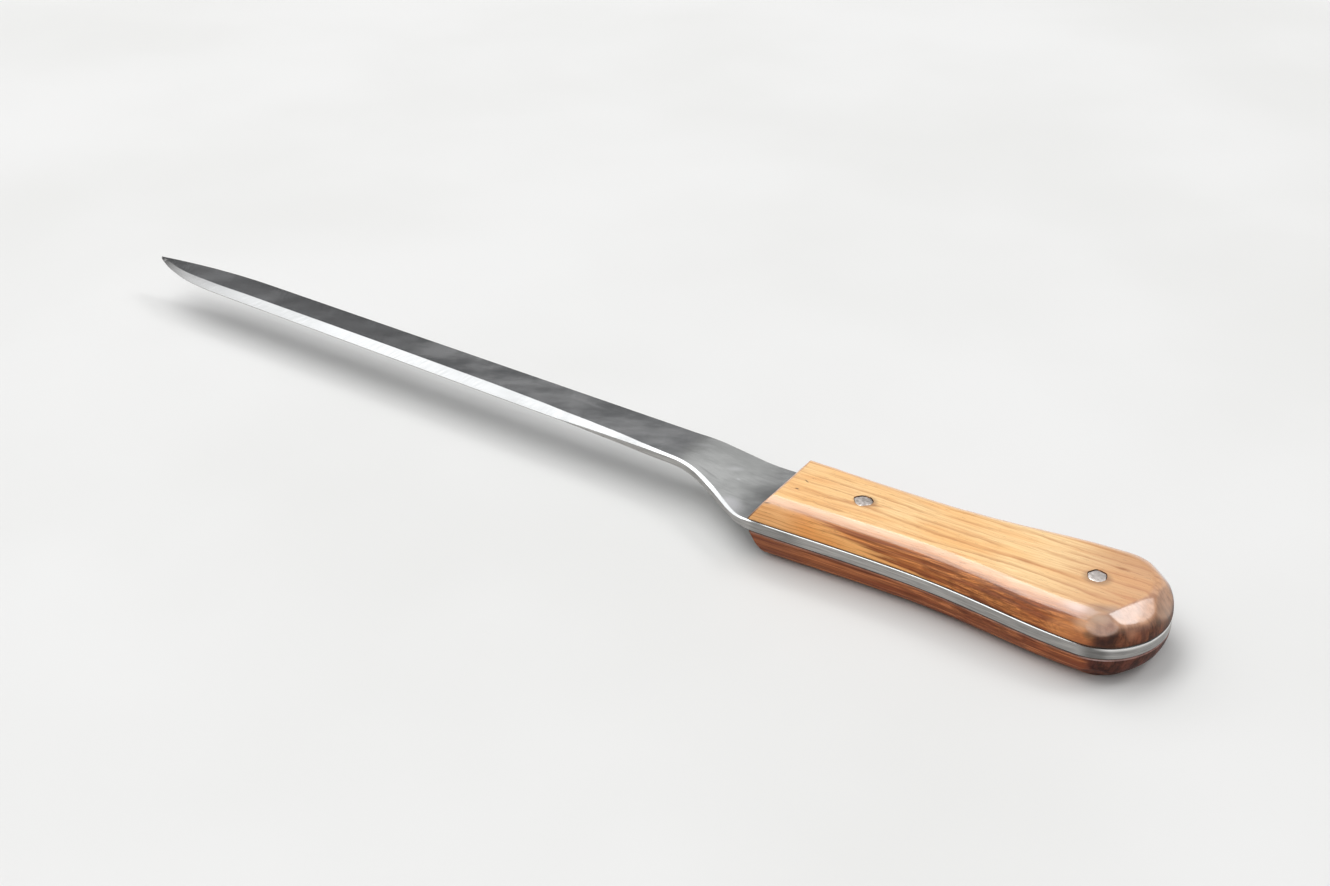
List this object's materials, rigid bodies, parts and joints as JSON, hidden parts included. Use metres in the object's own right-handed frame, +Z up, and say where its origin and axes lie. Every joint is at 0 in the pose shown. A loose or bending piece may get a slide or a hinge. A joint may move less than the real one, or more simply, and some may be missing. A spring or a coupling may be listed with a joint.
{
  "type": "carving knife",
  "caption": "Slim carving knife: full tang between rounded, pinned wooden scales, a shallow crank ahead of the handle and a long straight bevelled edge that curves up to the tip.",
  "frame": {"origin": "on the flat underside of the lower scale, midway between the two pins", "axes": "+X along the handle towards the tip, +Y towards the cutting edge, +Z up from the face that the knife lies on, the side to which the crank raises the blade"},
  "size_m": [0.368, 0.0416, 0.0183],
  "materials": {
    "steel": "fine ground satin with a polished bevel",
    "wood": "oiled and smoothly sanded",
    "pin_metal": "peened and sanded flush",
    "glue": "cured resin"
  },
  "bodies": {
    "root": {"blade": "steel", "upper_scale": "wood", "lower_scale": "wood", "front_pin": "pin_metal", "rear_pin": "pin_metal", "upper_glue_bed": "glue", "lower_glue_bed": "glue"}
  },
  "joints": []
}
